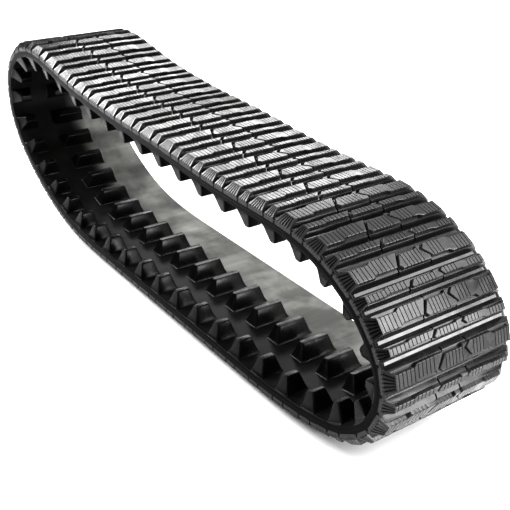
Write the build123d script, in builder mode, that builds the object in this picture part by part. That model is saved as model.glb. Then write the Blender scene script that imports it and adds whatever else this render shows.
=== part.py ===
from build123d import *
import math
import os

os.makedirs("parts", exist_ok=True)

# Rubber track, 381 mm wide, 101.6 mm pitch, 42 pitches round (millimetres, +Z up).
# Ten belt sections follow one another round the loop. Each one is a belt with a cord
# ply inside, two rows of drive lugs on its running side and two kinds of tread bar.

track_width = 381.0
pitch = 101.6

# depths from the cord line, which is where the pitch is measured
running_depth = 8.0        # cord line to the inner running surface
tread_depth = 21.0         # cord line to the groove bottoms
bar_height = 22.0          # groove bottom to the top of a tread bar
ledge_height = 13.0        # groove bottom to the step beside the blocks
lug_height = 45.0          # running surface to the tip of a drive lug
root_depth = 5.0           # how far bars and lugs reach into the belt before trimming

flex_gap = 1.5             # belt end to the flex line, on either side of it
ply_half_thickness = 1.5
ply_width = 355.0
ply_clearance = 0.1

# drive lugs: distance along the pitch, base and tip sizes (along the belt, across it)
lug_station = 73.5
lug_base_length = 48.0
lug_tip_length = 13.0
lug_side_slope = 14.0
lug_corner = 5.0
edge_lug_centre = -153.5
edge_lug_tip_width = 35.0
centre_lug_centre = -4.0
centre_lug_tip_width = 82.0

# tread bars: distance of each bar's centre along the pitch, ridge half lengths
wide_station = 30.0
narrow_station = 81.0
wide_foot, wide_ledge = 26.0, 22.0
narrow_foot, narrow_ledge = 15.5, 11.5
block_taper = 8.0
shoulder_y = 173.0         # where the block tops end and the end slope starts
shoulder_drop = 17.0       # fall of the end slope from there to the belt edge

# outlines of the blocks on a bar (along the belt, across it), near to far
wide_blocks = (
    ((-14, -173), (20, -173), (20, -120), (14, -112), (14, -54), (-20, -36), (-20, -110), (-14, -119)),
    ((-14, -30), (12, -47), (20, -40), (20, 43), (12, 46), (-9, 29), (-20, 38), (-20, 24), (-14, 18)),
    ((-20, 48), (-9, 36), (14, 52), (14, 104), (20, 112), (20, 173), (-14, 173), (-14, 121), (-20, 112)),
)
narrow_blocks = (
    ((-7, -173), (9, -173), (9, -120), (6, -112), (6, -54), (-10, -42), (-10, -112), (-7, -119)),
    ((-7, -34), (5, -46), (9, -42), (9, 45), (5, 47), (-4, 38), (-10, 43), (-10, 26), (-7, 20)),
    ((-10, 52), (-4, 45), (6, 54), (6, 104), (9, 112), (9, 173), (-7, 173), (-7, 121), (-10, 112)),
)

# Bend of every pitch in degrees, section by section in the order they follow one
# another: back along the floor, up the rear wrap, forward over the top, down the front.
section_bends = {
    "bottom_front": (-4, 0, 0, 0, 0),
    "bottom_rear": (0, 0, 0, 0, -3),
    "rear_wrap_lower": (-6, -8.5, -7.5, -6.5),
    "rear_wrap_nose": (-9.5, -23, -33),
    "rear_wrap_upper": (-35, -29.5, -20, -8.5),
    "top_rear": (-0.5, 4, 2.5, 0.5, 2.5, -0.5),
    "top_front": (-1.5, -0.5, 0.5, 2.5, 1, -1.5),
    "front_wrap_upper": (-9.5, -13.5, -16),
    "front_wrap_nose": (-22.5, -40, -38),
    "front_wrap_lower": (-23.5, -9, -3),
}
loop_start_x = 607.65       # first flex line, which puts the middle of the loop at X = 0
floor_line = tread_depth + bar_height


def along(start, bend, distance, offset):
    """Point (x, z) and heading at a distance along one pitch, offset outwards from the cord line."""
    x, z, heading = start
    turned = bend * distance / pitch
    half = math.radians(turned / 2)
    chord = distance if abs(half) < 1e-9 else distance * math.sin(half) / half
    course = math.radians(heading) + half
    here = math.radians(heading + turned)
    across = offset * math.sin(here)
    up = offset * math.cos(here)
    return x + chord * math.cos(course) - across, z + chord * math.sin(course) + up, heading + turned


def offset_line(starts, bends, offset):
    """Points of one side of a belt section: pitch ends and, where a pitch is bent, its middle."""
    last = len(bends) - 1
    pieces = []
    for index, bend in enumerate(bends):
        first = flex_gap if index == 0 else 0
        final = pitch - flex_gap if index == last else pitch
        places = (first, (first + final) / 2, final)
        pieces.append([along(starts[index], bend, place, offset)[:2] for place in places])
    return pieces


def draw_side(pieces, bends):
    for (first, middle, final), bend in zip(pieces, bends):
        if bend == 0:
            Line(first, final)
        else:
            ThreePointArc(first, middle, final)


def belt_strip(starts, bends, inner, outer, width):
    """Solid band between two depths (positive outwards), following the bent pitches."""
    inside = offset_line(starts, bends, -inner)
    outside = offset_line(starts, bends, outer)
    with BuildPart() as strip:
        with BuildSketch(Plane.XZ):
            with BuildLine():
                draw_side(inside, bends)
                draw_side(outside, bends)
                Line(inside[0][0], outside[0][0])
                Line(inside[-1][2], outside[-1][2])
            make_face()
        extrude(amount=width / 2, both=True)
    return strip.part


def local_plane(start, bend, distance, offset):
    """Plane on the belt at a distance along a pitch: X along the belt, Y across, Z outwards."""
    x, z, heading = along(start, bend, distance, offset)
    angle = math.radians(heading)
    tangent = (math.cos(angle), 0, math.sin(angle))
    outwards = (-math.sin(angle), 0, math.cos(angle))
    return Plane(origin=(x, 0, z), x_dir=tangent, z_dir=outwards)


def drive_lug(foot, centre_y, tip_width, belt):
    """Tapered lug standing on the running surface and pointing into the loop."""
    base_width = tip_width + 2 * lug_side_slope
    growth = 1 + root_depth / lug_height
    with BuildPart() as lug:
        with BuildSketch(foot.offset(root_depth)):
            with Locations((0, centre_y)):
                RectangleRounded(
                    lug_tip_length + (lug_base_length - lug_tip_length) * growth,
                    tip_width + (base_width - tip_width) * growth,
                    lug_corner,
                )
        with BuildSketch(foot.offset(-lug_height)):
            with Locations((0, centre_y)):
                RectangleRounded(lug_tip_length, tip_width, lug_corner)
        loft()
        add(belt, mode=Mode.SUBTRACT)
    return lug.part


def tread_bar(foot, blocks, foot_half, ledge_half, belt):
    """Ridge across the whole belt with three stepped blocks on it and sloped ends."""
    edge = track_width / 2
    sink = foot_half + (foot_half - ledge_half) * root_depth / ledge_height
    side = Plane(origin=foot.origin, x_dir=foot.x_dir, z_dir=(0, -1, 0))
    end = Plane(origin=foot.origin, x_dir=(0, 1, 0), z_dir=foot.x_dir)
    end_low = bar_height - shoulder_drop
    with BuildPart() as bar:
        with BuildSketch(side):
            with BuildLine():
                Polyline(
                    (-sink, -root_depth), (sink, -root_depth), (ledge_half, ledge_height),
                    (-ledge_half, ledge_height), (-sink, -root_depth),
                )
            make_face()
        extrude(amount=edge, both=True)
        for outline in blocks:
            with BuildSketch(foot.offset(bar_height)):
                with BuildLine():
                    Polyline(*outline, close=True)
                make_face()
            extrude(amount=-(bar_height - ledge_height / 2), taper=-block_taper)
        with BuildSketch(end):
            with BuildLine():
                Polyline(
                    (-edge, -root_depth), (-edge, end_low), (-shoulder_y, bar_height),
                    (shoulder_y, bar_height), (edge, end_low), (edge, -root_depth),
                    close=True,
                )
            make_face()
        extrude(amount=2 * foot_half, both=True, mode=Mode.INTERSECT)
        add(belt, mode=Mode.SUBTRACT)
    return bar.part


def save(shapes, label):
    part = shapes[0] if len(shapes) == 1 else Compound(children=shapes)
    part.label = label
    export_step(part, f"parts/{label}.step")


# pitch starts round the whole loop
first_bend = section_bends["bottom_front"][0]
level_start = (0, 0, 180 - first_bend)
first_fall = along(level_start, first_bend, pitch, 0)[1]
position = (loop_start_x, floor_line - first_fall, 180 - first_bend)
for section, bends in section_bends.items():
    starts = []
    for bend in bends:
        starts.append(position)
        position = along(position, bend, pitch, 0)

    # the whole band, before its pocket is cut, trims the roots of the lugs and bars
    solid_band = belt_strip(starts, bends, running_depth, tread_depth, track_width)
    pocket_depth = ply_half_thickness + ply_clearance
    pocket = belt_strip(starts, bends, pocket_depth, pocket_depth, ply_width + 2 * ply_clearance)
    with BuildPart() as belt:
        add(solid_band)
        add(pocket, mode=Mode.SUBTRACT)
    save([belt.part], f"belt_{section}")

    ply = belt_strip(starts, bends, ply_half_thickness, ply_half_thickness, ply_width)
    save([ply], f"cord_ply_{section}")

    edge_lugs = []
    centre_lugs = []
    wide_bars = []
    narrow_bars = []
    for start, bend in zip(starts, bends):
        running = local_plane(start, bend, lug_station, -running_depth)
        edge_lugs.append(drive_lug(running, edge_lug_centre, edge_lug_tip_width, solid_band))
        centre_lugs.append(drive_lug(running, centre_lug_centre, centre_lug_tip_width, solid_band))
        wide_foot_plane = local_plane(start, bend, wide_station, tread_depth)
        wide_bars.append(tread_bar(wide_foot_plane, wide_blocks, wide_foot, wide_ledge, solid_band))
        narrow_foot_plane = local_plane(start, bend, narrow_station, tread_depth)
        narrow_bars.append(
            tread_bar(narrow_foot_plane, narrow_blocks, narrow_foot, narrow_ledge, solid_band)
        )
    save(edge_lugs, f"edge_lugs_{section}")
    save(centre_lugs, f"centre_lugs_{section}")
    save(wide_bars, f"wide_bars_{section}")
    save(narrow_bars, f"narrow_bars_{section}")
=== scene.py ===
import math

import bmesh
import bpy
from mathutils import Matrix, Vector


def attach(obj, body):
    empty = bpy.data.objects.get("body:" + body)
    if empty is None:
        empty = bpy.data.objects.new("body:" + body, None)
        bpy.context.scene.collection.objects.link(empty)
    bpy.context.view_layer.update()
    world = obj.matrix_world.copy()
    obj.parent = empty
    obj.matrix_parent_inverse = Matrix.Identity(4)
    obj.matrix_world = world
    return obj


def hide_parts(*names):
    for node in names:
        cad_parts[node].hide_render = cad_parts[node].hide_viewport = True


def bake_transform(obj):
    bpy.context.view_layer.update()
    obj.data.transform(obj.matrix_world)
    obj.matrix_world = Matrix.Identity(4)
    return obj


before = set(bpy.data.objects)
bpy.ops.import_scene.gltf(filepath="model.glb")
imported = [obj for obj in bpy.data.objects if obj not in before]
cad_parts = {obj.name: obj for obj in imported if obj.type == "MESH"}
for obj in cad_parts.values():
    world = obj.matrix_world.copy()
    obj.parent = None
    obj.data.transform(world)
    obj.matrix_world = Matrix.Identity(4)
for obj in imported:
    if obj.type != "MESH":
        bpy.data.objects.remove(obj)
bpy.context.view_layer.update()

# ---------------------------------------------------------------- sizes, metres
mm = 0.001
pitch = 101.6 * mm
half_width = 190.5 * mm
running_depth = 8 * mm         # cord line to the inner running surface
tread_depth = 21 * mm          # cord line to the groove floors
bar_height = 22 * mm
ledge_height = 13 * mm
shoulder_y = 173 * mm          # where the block tops end and the end slope starts
edge_height = 4 * mm           # height of a bar where its end slope meets the belt edge

# distance of each bar and lug along its pitch, and where the lug rows lie across the belt
wide_station, narrow_station, lug_station = 30 * mm, 81 * mm, 73.5 * mm
edge_lug_centre, edge_lug_half = -153.5 * mm, 31.5 * mm
centre_lug_centre, centre_lug_half = -4 * mm, 55 * mm
straight_above = 12 * mm       # height at which a moulded block stops following the bent belt

# bend of every pitch in degrees, section by section, as in the CAD model
section_bends = {
    "bottom_front": (-4, 0, 0, 0, 0),
    "bottom_rear": (0, 0, 0, 0, -3),
    "rear_wrap_lower": (-6, -8.5, -7.5, -6.5),
    "rear_wrap_nose": (-9.5, -23, -33),
    "rear_wrap_upper": (-35, -29.5, -20, -8.5),
    "top_rear": (-0.5, 4, 2.5, 0.5, 2.5, -0.5),
    "top_front": (-1.5, -0.5, 0.5, 2.5, 1, -1.5),
    "front_wrap_upper": (-9.5, -13.5, -16),
    "front_wrap_nose": (-22.5, -40, -38),
    "front_wrap_lower": (-23.5, -9, -3),
}
sections = list(section_bends)
bends = [bend for name in sections for bend in section_bends[name]]
pitch_count = len(bends)
loop_start_x = 607.65 * mm


def body_name(section):
    return "floor_run" if section.startswith("bottom") else section


# ---------------------------------------------------------------- the loop as a map
def along(start, bend, distance):
    """Point (x, z) and heading in radians at a distance along one pitch's cord line."""
    x, z, heading = start
    half = math.radians(bend) * distance / pitch / 2
    chord = distance if abs(half) < 1e-9 else distance * math.sin(half) / half
    return x + chord * math.cos(heading + half), z + chord * math.sin(heading + half), heading + 2 * half


def pitch_starts():
    heading = math.radians(180 - bends[0])
    fall = along((0, 0, heading), bends[0], pitch)[1]
    starts = [(loop_start_x, tread_depth + bar_height - fall, heading)]
    for bend in bends:
        starts.append(along(starts[-1], bend, pitch))
    return starts


starts = pitch_starts()


def frame_at(distance):
    """Point and heading on the cord line at a distance round the loop, in metres."""
    index = math.floor(distance / pitch + 1e-9)
    return along(starts[index % pitch_count], bends[index % pitch_count], distance - index * pitch)


def place(at, y, depth):
    """Point at a depth outwards from the cord line, at a place that frame_at gave."""
    x, z, heading = at
    return Vector((x - depth * math.sin(heading), y, z + depth * math.cos(heading)))


def on_belt(distance, y, depth):
    return place(frame_at(distance), y, depth)


def on_block(centre, u, y, depth, base):
    """Point of a moulded block: it follows the belt at its foot and is straight at its top."""
    bent = on_belt(centre + u, y, depth)
    x, z, heading = frame_at(centre)
    flat = place((x + u * math.cos(heading), z + u * math.sin(heading), heading), y, depth)
    rise = min(abs(depth - base) / straight_above, 1)
    return bent.lerp(flat, rise * rise * (3 - 2 * rise))


# ---------------------------------------------------------------- mesh helpers
def finish_mesh(name, bm, material, body=None, crease=32):
    """Object from a bmesh, smooth except across edges sharper than the crease angle."""
    bmesh.ops.remove_doubles(bm, verts=bm.verts, dist=1e-6)
    bmesh.ops.recalc_face_normals(bm, faces=bm.faces)
    for face in bm.faces:
        face.smooth = True
    for edge in bm.edges:
        if len(edge.link_faces) == 2 and edge.calc_face_angle(0) > math.radians(crease):
            edge.smooth = False
    mesh = bpy.data.meshes.new(name)
    bm.to_mesh(mesh)
    bm.free()
    mesh.materials.append(material)
    piece = bpy.data.objects.new(name, mesh)
    bpy.context.scene.collection.objects.link(piece)
    if body:
        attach(piece, body)
    return piece


def add_rings(bm, rings, closed=True):
    """Quads between rings of points, each as long as the next; closed rings get flat caps."""
    rows = [[bm.verts.new(point) for point in ring] for ring in rings]
    count = len(rows[0])
    for row, following in zip(rows, rows[1:]):
        for i in range(count if closed else count - 1):
            j = (i + 1) % count
            bm.faces.new((row[i], row[j], following[j], following[i]))
    if closed:
        bm.faces.new(list(reversed(rows[0])))
        bm.faces.new(rows[-1])
    return rows


# ---------------------------------------------------------------- belt
# one half of the belt's outline across its width, from the middle of the running side,
# round the edge with its parting line and raised lip, to the middle of the groove floor
edge_outline = (
    (0, -8), (60, -8), (115, -8), (186.2, -8), (187.8, -7.5), (189.1, -6.3), (189.7, -4.6),
    (189.7, 3), (190.3, 3.6), (190.3, 4.8), (189.7, 5.4), (189.7, 13), (189.4, 18),
    (188.6, 21.6), (187.2, 23.6), (185.2, 24.5), (183.2, 24.1), (181, 22.6), (178.6, 21.4),
    (176, 21), (90, 21),
)
half_outline = [(y * mm, depth * mm) for y, depth in edge_outline]
other_half = [(-y, depth) for y, depth in reversed(half_outline[1:])]
belt_outline = half_outline + [(0, tread_depth)] + other_half
# outline points between which the belt is glossier: the lips and the groove floors
glossy_from, glossy_to = 12, len(belt_outline) - 12
belt_steps = 12                # lengthwise divisions of one pitch
tongue_length = 4 * mm         # hidden tongue that bridges the open flex line
tongue_width_share = 1 - 0.4 * mm / half_width
tongue_depth_share = 0.96


def belt_piece(name, first, last, material, tongue=False):
    """Closed length of belt from one distance round the loop to another."""
    bm = bmesh.new()
    steps = max(1, round((last - first) / pitch * belt_steps))
    rings = []
    for step in range(steps + 1):
        at = frame_at(first + (last - first) * step / steps)
        rings.append([place(at, y, depth) for y, depth in belt_outline])
    if tongue:
        at = frame_at(last + tongue_length)
        rings.append([
            place(at, y * tongue_width_share, depth * tongue_depth_share) for y, depth in belt_outline
        ])
    add_rings(bm, rings)
    for index, face in enumerate(bm.faces):
        face.material_index = 1 if glossy_from <= index % len(belt_outline) < glossy_to else 0
    piece = finish_mesh(name, bm, material, crease=25)
    piece.data.materials.append(groove_rubber)
    return piece


# ---------------------------------------------------------------- moulded blocks
sipe_half, sipe_depth = 1 * mm, 2.4 * mm
rib_groove = 2.4 * mm          # depth of the grooves between the ribs of a bar's end
round_over = 1.2 * mm
gap_floor = 4 * mm              # groove floor to the bottom of the gap between two blocks
gap_half = 1.6 * mm


def offset_ring(points, distance):
    """Outline moved outwards by a distance, for points that run anticlockwise."""
    count = len(points)
    moved = []
    for i in range(count):
        before, here, after = (Vector(points[(i + k) % count]) for k in (-1, 0, 1))
        first = (here - before).normalized()
        second = (after - here).normalized()
        normal = Vector((first.y + second.y, -first.x - second.x))
        scale = distance / max(0.35, (1 + first.dot(second)) / 2) / 2
        moved.append(here + normal * scale)
    return moved


def sliced_top(outline, sipes):
    """Outline cut into strips at the sipes: faces as lists of (u, y, is in a sipe)."""
    bm = bmesh.new()
    bm.faces.new([bm.verts.new((u, y, 0)) for u, y in outline])
    for sipe in sipes:
        for cut in (sipe - sipe_half, sipe, sipe + sipe_half):
            everything = bm.verts[:] + bm.edges[:] + bm.faces[:]
            bmesh.ops.bisect_plane(bm, geom=everything, plane_co=(0, cut, 0), plane_no=(0, 1, 0))
    for vert in bm.verts:
        if any(abs(vert.co.y - sipe) < 1e-6 for sipe in sipes):
            vert.co.z = -sipe_depth
    return bm


def add_block(bm, centre, outline, sipes):
    """One raised tread block with drafted walls, a rounded rim and fine sipes across it."""
    top = sliced_top(offset_ring(outline, -round_over), sipes)
    rim = [edge for edge in top.edges if len(edge.link_faces) == 1]
    height = tread_depth + bar_height
    made = {}
    for vert in top.verts:
        point = on_block(centre, vert.co.x, vert.co.y, height + vert.co.z, tread_depth)
        made[vert] = bm.verts.new(point)
    for face in top.faces:
        bm.faces.new([made[vert] for vert in face.verts])
    # walk round the rim so that the walls can be offset outwards
    following = {}
    for edge in rim:
        loop = edge.link_loops[0]
        following[loop.vert] = loop.link_loop_next.vert
    ring = [next(iter(following))]
    while following[ring[-1]] is not ring[0]:
        ring.append(following[ring[-1]])
    flat = [vert.co.xy for vert in ring]
    area = sum(a.x * b.y - b.x * a.y for a, b in zip(flat, flat[1:] + flat[:1]))
    sign = 1 if area > 0 else -1
    rows = [[made[vert] for vert in ring]]
    levels = (
        (round_over, -1.1 * mm),
        (round_over + 1.6 * mm, ledge_height - bar_height - 3 * mm),
        (round_over + 1.9 * mm, gap_floor - bar_height - 2 * mm),
    )
    for outset, drop in levels:
        moved = offset_ring(flat, sign * outset)
        row = []
        for vert, point in zip(ring, moved):
            depth = height + drop + (vert.co.z if drop > -5 * mm else 0)
            row.append(bm.verts.new(on_block(centre, point.x, point.y, depth, tread_depth)))
        rows.append(row)
    for upper, lower in zip(rows, rows[1:]):
        for i in range(len(ring)):
            j = (i + 1) % len(ring)
            bm.faces.new((upper[i], upper[j], lower[j], lower[i]))
    bm.faces.new(list(reversed(rows[-1])))
    top.free()


def gap_line(gap, u):
    """Distance across the belt of the middle of a gap between blocks, at a distance along it."""
    for (u0, y0), (u1, y1) in zip(gap, gap[1:]):
        if u <= u1:
            break
    share = min(max((u - u0) / (u1 - u0), 0), 1)
    return y0 + (y1 - y0) * share


def add_ridge(bm, centre, profile, gaps):
    """Low ridge under the blocks, cut through by the gaps and faired into the groove floors."""
    slope = (bar_height - edge_height) / (half_width - shoulder_y)
    edge = half_width - 0.3 * mm
    low, high = gap_floor, bar_height
    stations = [(y, None, high) for y in (-edge, -183 * mm, -178 * mm, -100 * mm)]
    for gap in gaps:
        for shift, ceiling in ((-1.25, high), (-1, low), (1, low), (1.25, high)):
            stations.append((shift * gap_half, gap, ceiling))
    stations += [(y, None, high) for y in (100 * mm, 178 * mm, 183 * mm, edge)]
    under = profile[-1][0]
    rings = []
    for y, gap, top in stations:
        ceiling = min(top, bar_height - 4 * mm - slope * max(0, abs(y) - shoulder_y))
        sunk = -3 * mm if abs(y) < 185 * mm else -9 * mm
        ring = [(u, min(height, ceiling)) for u, height in profile] + [(under, sunk), (-under, sunk)]
        points = []
        for u, height in ring:
            across = y + gap_line(gap, u) if gap else y
            points.append(on_block(centre, u, across, tread_depth + height, tread_depth))
        rings.append(points)
    add_rings(bm, rings)


def add_fan(bm, centre, side, low, high, low_foot, high_foot, ribs):
    """Sloped end of a bar, ribbed in a fan that opens towards the belt edge."""
    edge = half_width - 0.1 * mm
    divisions = ribs * 4
    rings = []
    for across, depth, left, right, relief in (
        (shoulder_y - 3 * mm, bar_height, low, high, 0),
        (shoulder_y, bar_height, low, high, 0),
        (shoulder_y + 1 * mm, bar_height - 0.7 * mm, low, high, 1),
        (edge, edge_height, low_foot, high_foot, 1),
        (edge, -7 * mm, low_foot, high_foot, 0.6),
        (shoulder_y - 3 * mm, -3 * mm, low_foot, high_foot, 0),
    ):
        ring = []
        for i in range(divisions + 1):
            u = left + (right - left) * i / divisions
            valley = relief * rib_groove if i % 4 == 0 and 0 < i < divisions else 0
            y = across - valley * 0.7 if relief else across
            ring.append(on_block(centre, u, side * y, tread_depth + depth - valley * 0.7, tread_depth))
        rings.append(ring)
    rows = add_rings(bm, rings, closed=False)
    for last in (0, -1):
        bm.faces.new([row[last] for row in rows])
    for i in range(divisions):
        bm.faces.new((rows[-1][i], rows[-1][i + 1], rows[0][i + 1], rows[0][i]))


def ridge_profile(foot, ledge, reach):
    """Ridge outline: concave foot out to the groove middle, drafted flank, flat ledge."""
    half = [
        (reach, -0.5), (foot + 1.3, 0.1), (foot + 0.6, 0.6), (foot - 0.1, 1.5), (foot - 0.8, 3),
        (foot - 1.8, 7), (ledge + 0.6, 11.6), (ledge, 12.7), (ledge - 1.2, 13),
    ]
    right = [(u * mm, height * mm) for u, height in half]
    top = [(u * mm, 13 * mm) for u in (-9, -3, 3, 9)]
    return [(-u, height) for u, height in right] + top + list(reversed(right))


def metres(outline):
    return [(u * mm, y * mm) for u, y in outline]


def spaced(first, last, count):
    return [(first + (last - first) * i / (count - 1)) * mm for i in range(count)]


# outlines of the three blocks of a bar (along the belt, across it) and the places of their
# sipes across the belt; the far block keeps a plain patch between two groups of sipes
wide_blocks = (
    (
        ((-14, -173), (20, -173), (20, -120), (14, -112), (14, -54), (-20, -36), (-20, -110), (-14, -119)),
        spaced(-164, -63, 10),
    ),
    (
        ((-14, -30), (12, -47), (20, -40), (20, 43), (12, 46), (-9, 29), (-20, 38), (-20, 24), (-14, 18)),
        spaced(-28, 22, 6),
    ),
    (
        ((-20, 48), (-9, 36), (14, 52), (14, 104), (20, 112), (20, 173), (-14, 173), (-14, 121), (-20, 112)),
        spaced(57, 87, 4) + spaced(126, 164, 5),
    ),
)
narrow_blocks = (
    (
        ((-7, -173), (9, -173), (9, -120), (6, -112), (6, -54), (-10, -42), (-10, -112), (-7, -119)),
        spaced(-164, -63, 10),
    ),
    (
        ((-7, -34), (5, -46), (9, -42), (9, 45), (5, 47), (-4, 38), (-10, 43), (-10, 26), (-7, 20)),
        spaced(-28, 22, 6),
    ),
    (
        ((-10, 52), (-4, 45), (6, 54), (6, 104), (9, 112), (9, 173), (-7, 173), (-7, 121), (-10, 112)),
        spaced(58, 88, 4) + spaced(126, 164, 5),
    ),
)
# middles of the gaps between the blocks (along the belt, across it)
wide_gaps = (
    ((-30, -28), (-17, -31.5), (14, -51), (30, -52)),
    ((-30, 43), (-20, 43), (-9, 32.5), (14, 49), (20, 46), (30, 45)),
)
narrow_gaps = (
    ((-20, -37), (-8, -38.5), (6, -50), (20, -50)),
    ((-20, 48), (-10, 47.5), (-4, 41.5), (6, 50.5), (9, 49.5), (20, 49)),
)
# station, blocks, gaps, ridge, and the end fan's half lengths (top, foot) and rib count
bar_kinds = {
    "wide_bars": (
        wide_station, wide_blocks, wide_gaps, ridge_profile(26, 22, 27.9), (-14, 20, -25.5, 25.5, 6),
    ),
    "narrow_bars": (
        narrow_station, narrow_blocks, narrow_gaps, ridge_profile(15.5, 11.5, 17.4), (-7, 9, -15, 15, 4),
    ),
}


def tread_bars(kind, section, first_pitch, material):
    station, blocks, gaps, profile, fan = bar_kinds[kind]
    gaps = [metres(gap) for gap in gaps]
    low, high, low_foot, high_foot = (value * mm for value in fan[:4])
    bm = bmesh.new()
    for index in range(len(section_bends[section])):
        centre = (first_pitch + index) * pitch + station
        add_ridge(bm, centre, profile, gaps)
        for outline, sipes in blocks:
            add_block(bm, centre, metres(outline), sipes)
        for side in (-1, 1):
            add_fan(bm, centre, side, low, high, low_foot, high_foot, fan[4])
    piece = finish_mesh(f"{kind}_{section}_detail", bm, material, body_name(section))
    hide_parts(f"{kind}_{section}")


# ---------------------------------------------------------------- drive lugs
# rise above the running surface, half length and growth of the half width there
lug_levels = (
    (-4, 27.5, 4.5), (-0.3, 26.8, 3.8), (0.5, 26, 3), (1.6, 25, 2), (3.2, 24, 0.9), (5.5, 22.8, -0.4),
    (13, 20, -3.2), (22, 17.2, -6.2), (31, 14.3, -9), (38, 11.9, -11.2), (42, 10.2, -12.4),
    (44, 9, -13), (44.8, 8, -13.6), (45, 6.8, -14.4),
)
corner_steps = 5
lug_corner = 3.6


def rounded_ring(half_length, half_across, corner):
    """Points of a rounded rectangle about the origin, anticlockwise."""
    points = []
    for quarter in range(4):
        turn = quarter * math.pi / 2
        sx = 1 if quarter in (0, 3) else -1
        sy = 1 if quarter in (0, 1) else -1
        for step in range(corner_steps + 1):
            angle = turn + step / corner_steps * math.pi / 2
            points.append((
                sx * (half_length - corner) + corner * math.cos(angle),
                sy * (half_across - corner) + corner * math.sin(angle),
            ))
    return points


def drive_lugs(kind, section, first_pitch, centre_y, base_half, material):
    bm = bmesh.new()
    for index in range(len(section_bends[section])):
        centre = (first_pitch + index) * pitch + lug_station
        rings = []
        for rise, half_length, growth in lug_levels:
            corner = min(lug_corner, half_length - 0.5) * mm
            ring = rounded_ring(half_length * mm, base_half + growth * mm, corner)
            depth = -running_depth - rise * mm
            rings.append([on_block(centre, u, centre_y + y, depth, -running_depth) for u, y in ring])
        add_rings(bm, rings)
    piece = finish_mesh(f"{kind}_{section}_detail", bm, material, body_name(section), crease=40)
    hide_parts(f"{kind}_{section}")


# ---------------------------------------------------------------- materials
class Shader:
    """A Principled material with a few short ways to add nodes to it."""

    def __init__(self, name, roughness, specular):
        self.material = bpy.data.materials.new(name)
        self.material.use_nodes = True
        self.tree = self.material.node_tree
        self.surface = self.tree.nodes["Principled BSDF"]
        self.surface.inputs["Roughness"].default_value = roughness
        self.surface.inputs["Specular IOR Level"].default_value = specular
        self.place = self.add("ShaderNodeTexCoord").outputs["Object"]

    def add(self, kind, **settings):
        node = self.tree.nodes.new(kind)
        for key, value in settings.items():
            setattr(node, key, value)
        return node

    def link(self, output, target):
        self.tree.links.new(output, target)

    def noise(self, scale, detail=4, stretch=None):
        node = self.add("ShaderNodeTexNoise")
        node.inputs["Scale"].default_value = scale
        node.inputs["Detail"].default_value = detail
        source = self.place
        if stretch:
            mapping = self.add("ShaderNodeMapping")
            mapping.inputs["Scale"].default_value = stretch
            self.link(source, mapping.inputs["Vector"])
            source = mapping.outputs["Vector"]
        self.link(source, node.inputs["Vector"])
        return node.outputs["Fac"]

    def ramp(self, source, low, high, bottom=0.0, top=1.0):
        node = self.add("ShaderNodeMapRange")
        for key, value in zip(("From Min", "From Max", "To Min", "To Max"), (low, high, bottom, top)):
            node.inputs[key].default_value = value
        self.link(source, node.inputs["Value"])
        return node.outputs["Result"]

    def multiply(self, first, second):
        node = self.add("ShaderNodeMath", operation="MULTIPLY")
        self.link(first, node.inputs[0])
        self.link(second, node.inputs[1])
        return node.outputs[0]

    def mix(self, factor, first, second):
        node = self.add("ShaderNodeMix", data_type="RGBA")
        self.link(factor, node.inputs["Factor"])
        for value, socket in ((first, node.inputs[6]), (second, node.inputs[7])):
            if isinstance(value, tuple):
                socket.default_value = (*value, 1)
            else:
                self.link(value, socket)
        return node.outputs[2]

    def colour(self, source):
        self.link(source, self.surface.inputs["Base Color"])

    def roughness(self, source):
        self.link(source, self.surface.inputs["Roughness"])

    def bump(self, source, distance, strength=1.0):
        node = self.add("ShaderNodeBump")
        node.inputs["Distance"].default_value = distance
        node.inputs["Strength"].default_value = strength
        self.link(source, node.inputs["Height"])
        self.link(node.outputs["Normal"], self.surface.inputs["Normal"])

    # share of lighter colour on sharp outward edges: partly wear, partly a painted edge highlight
    def worn_and_highlit_edges(self, low, high):
        return self.ramp(self.add("ShaderNodeNewGeometry").outputs["Pointiness"], low, high)


def rubber(name, dark, light, roughness, specular, grain=0.15):
    """Moulded rubber: uneven bloom, sharp corners lighter as wear and as a painted edge highlight, and a
    fine moulded grain.
    """
    shader = Shader(name, roughness, specular)
    cloud = shader.ramp(shader.noise(9, 6), 0.35, 0.7)
    body = shader.mix(cloud, dark, light)
    # sharp outward edges are lightened: partly wear, partly a painted highlight where the rims would catch
    # the light
    edge_wear_and_highlight = tuple(min(1, value * 2.2 + 0.01) for value in light)
    shader.colour(shader.mix(shader.worn_and_highlit_edges(0.53, 0.62), body, edge_wear_and_highlight))
    shader.roughness(shader.ramp(shader.noise(30, 5), 0.3, 0.7, roughness - 0.07, roughness + 0.1))
    shader.bump(shader.noise(900, 3), grain * mm, 0.25)
    return shader.material


def dusty_belt(name):
    """Running side of the belt: black rubber under scuffed grey dust."""
    shader = Shader(name, 0.5, 0.05)
    dust = shader.add("ShaderNodeAttribute", attribute_name="dust").outputs["Fac"]
    cloud = shader.ramp(shader.noise(11, 9), 0.38, 0.62)
    streak = shader.ramp(shader.noise(14, 6, (1, 0.12, 1)), 0.3, 0.75, 0.35, 1)
    cover = shader.multiply(shader.multiply(dust, streak), shader.ramp(cloud, 0, 1, 0.5, 1))
    shader.colour(shader.mix(cover, (0.003, 0.003, 0.003), (0.3, 0.3, 0.285)))
    shader.roughness(shader.ramp(cover, 0, 0.8, 0.36, 0.6))
    shader.bump(shader.noise(500, 4), 0.15 * mm, 0.4)
    return shader.material


def cord_sheet(name):
    """Cord ply: parallel cords under a thin skin of rubber."""
    shader = Shader(name, 0.6, 0.3)
    wave = shader.add("ShaderNodeTexWave", bands_direction="Y")
    wave.inputs["Scale"].default_value = 70
    shader.link(shader.place, wave.inputs["Vector"])
    shader.colour(shader.mix(wave.outputs["Fac"], (0.1, 0.09, 0.08), (0.35, 0.32, 0.27)))
    shader.bump(wave.outputs["Fac"], 0.5 * mm)
    return shader.material


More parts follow.
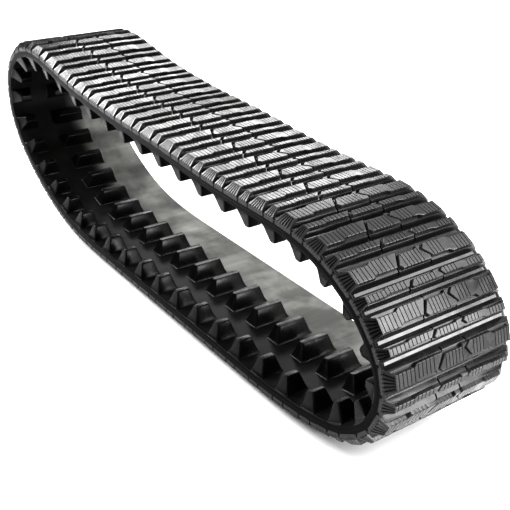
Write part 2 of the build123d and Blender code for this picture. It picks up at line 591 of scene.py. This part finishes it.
tread_rubber = rubber("tread_rubber", (0.005, 0.005, 0.005), (0.011, 0.011, 0.0109), 0.24, 0.28)
groove_rubber = rubber("groove_rubber", (0.003, 0.003, 0.0031), (0.006, 0.006, 0.0061), 0.22, 0.5)
lug_rubber = rubber("lug_rubber", (0.002, 0.002, 0.002), (0.005, 0.005, 0.005), 0.27, 0.2)
carcass_rubber = dusty_belt("carcass_rubber")
cord_rubber = cord_sheet("cord_rubber")

# ---------------------------------------------------------------- assembly
first_pitches = {}
count = 0
for section in sections:
    first_pitches[section] = count
    count += len(section_bends[section])

for section in sections:
    first = first_pitches[section]
    tread_bars("wide_bars", section, first, tread_rubber)
    tread_bars("narrow_bars", section, first, tread_rubber)
    drive_lugs("edge_lugs", section, first, edge_lug_centre, edge_lug_half, lug_rubber)
    drive_lugs("centre_lugs", section, first, centre_lug_centre, centre_lug_half, lug_rubber)
    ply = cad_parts[f"cord_ply_{section}"]
    ply.data.materials.clear()
    ply.data.materials.append(cord_rubber)


plain_band_from = 58 * mm      # the running side beyond this has no lugs
plain_band_dust, lug_band_dust = 1.0, 0.06
running_side_points = 3        # outline points on either side of the middle that face inwards


def paint_dust(piece):
    """Dust cover of the belt: heavy on the plain far band, light between the lug rows."""
    mesh = piece.data
    cover = mesh.attributes.new("dust", "FLOAT", "POINT")
    count = len(belt_outline)
    for vert, value in zip(mesh.vertices, cover.data):
        from_middle = min(vert.index % count, count - vert.index % count)
        if from_middle > running_side_points:
            value.value = 0
        else:
            value.value = plain_band_dust if vert.co.y > plain_band_from else lug_band_dust


def section_middle(section):
    return first_pitches[section] * pitch + len(section_bends[section]) // 2 * pitch + wide_station


open_flex = "top_front"
for section, before in zip(sections, sections[-1:] + sections[:-1]):
    flex = first_pitches[section] * pitch
    if flex == 0:
        flex = pitch_count * pitch
    reach_before = flex - first_pitches[section] * pitch
    first = section_middle(before)
    last = section_middle(section) + reach_before
    if section == open_flex:
        halves = (
            belt_piece(f"belt_{before}_end", first, flex, carcass_rubber, tongue=True),
            belt_piece(f"belt_{section}_detail", flex, last, carcass_rubber),
        )
        for half, body in zip(halves, (before, section)):
            paint_dust(half)
            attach(half, body_name(body))
        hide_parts(f"belt_{section}")
        continue
    piece = belt_piece(f"belt_{section}_detail", first, last, carcass_rubber)
    paint_dust(piece)
    if body_name(before) == body_name(section):
        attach(piece, body_name(section))
    else:
        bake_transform(piece)
    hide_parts(f"belt_{section}")

# ---------------------------------------------------------------- floor, light, camera
floor_material = Shader("pale_floor", 0.6, 0.2)
floor_material.surface.inputs["Base Color"].default_value = (0.85, 0.85, 0.85, 1)
floor_half_size = 30
floor_bm = bmesh.new()
bmesh.ops.create_grid(floor_bm, x_segments=1, y_segments=1, size=floor_half_size)
floor = finish_mesh("floor", floor_bm, floor_material.material)


def area_light(name, position, target, size, power):
    data = bpy.data.lights.new(name, "AREA")
    data.shape = "RECTANGLE"
    data.size, data.size_y = size
    data.energy = power
    light = bpy.data.objects.new(name, data)
    light.location = position
    light.rotation_euler = (Vector(target) - Vector(position)).to_track_quat("-Z", "Y").to_euler()
    bpy.context.scene.collection.objects.link(light)


def overhead_light(strength, spread, tilt, gloss):
    """Wide soft light from above, in degrees, with only a little of it mirrored by the rubber."""
    data = bpy.data.lights.new("overhead", "SUN")
    data.energy = strength
    data.angle = math.radians(spread)
    data.specular_factor = gloss
    light = bpy.data.objects.new("overhead", data)
    light.rotation_euler = (math.radians(tilt), math.radians(tilt), 0)
    bpy.context.scene.collection.objects.link(light)


# softboxes: place, target, width and height in metres, then watts; the first two light the
# top run and its bar ends, the other three the blocks and grooves round the nose
overhead_light(strength=3.9, spread=110, tilt=-8, gloss=0.15)
area_light("back_left_softbox", (-3.2, 2.4, 2.5), (-0.1, 0, 0.5), (2.4, 0.9), 75)
area_light("front_left_softbox", (-2.7, -1.5, 2.2), (-0.1, -0.15, 0.5), (1.8, 0.8), 190)
area_light("nose_top_softbox", (1.25, 0.6, 1.4), (0.88, 0, 0.42), (0.9, 0.7), 17)
area_light("nose_fill", (3.2, 0.5, 0.7), (0.95, 0, 0.3), (1.5, 1.0), 55)
area_light("nose_panel", (1.72, 0.58, 0.8), (0.93, 0, 0.33), (0.5, 1.1), 34)

world_strength = 0.25
display_gamma = 0.76
world = bpy.data.worlds.new("studio")
bpy.context.scene.world = world
world.use_nodes = True
background = world.node_tree.nodes["Background"]
background.inputs["Color"].default_value = (1, 1, 1, 1)
background.inputs["Strength"].default_value = world_strength

# black rubber on a white floor needs more contrast than the default display gives
bpy.context.scene.view_settings.view_transform = "Standard"
bpy.context.scene.view_settings.gamma = display_gamma

camera_place = Vector((2.0126, -1.2836, 1.3389))
camera_heading, camera_tilt, camera_roll = -53.74, -27.32, 1.35   # degrees
frame_focal = 62.97            # millimetres, for a 36 mm sensor
heading, tilt = math.radians(camera_heading), math.radians(camera_tilt)
ahead = Vector((math.cos(tilt) * math.sin(heading), math.cos(tilt) * math.cos(heading), math.sin(tilt)))
right = ahead.cross(Vector((0, 0, 1))).normalized()
up = right.cross(ahead)
turn = Matrix.Rotation(-math.radians(camera_roll), 3, ahead)
axes = Matrix((turn @ right, turn @ up, -(turn @ ahead))).transposed()
camera_data = bpy.data.cameras.new("camera")
camera_data.lens = frame_focal
camera_data.sensor_width = 36
camera = bpy.data.objects.new("camera", camera_data)
camera.matrix_world = Matrix.Translation(camera_place) @ axes.to_4x4()
bpy.context.scene.collection.objects.link(camera)
bpy.context.scene.camera = camera
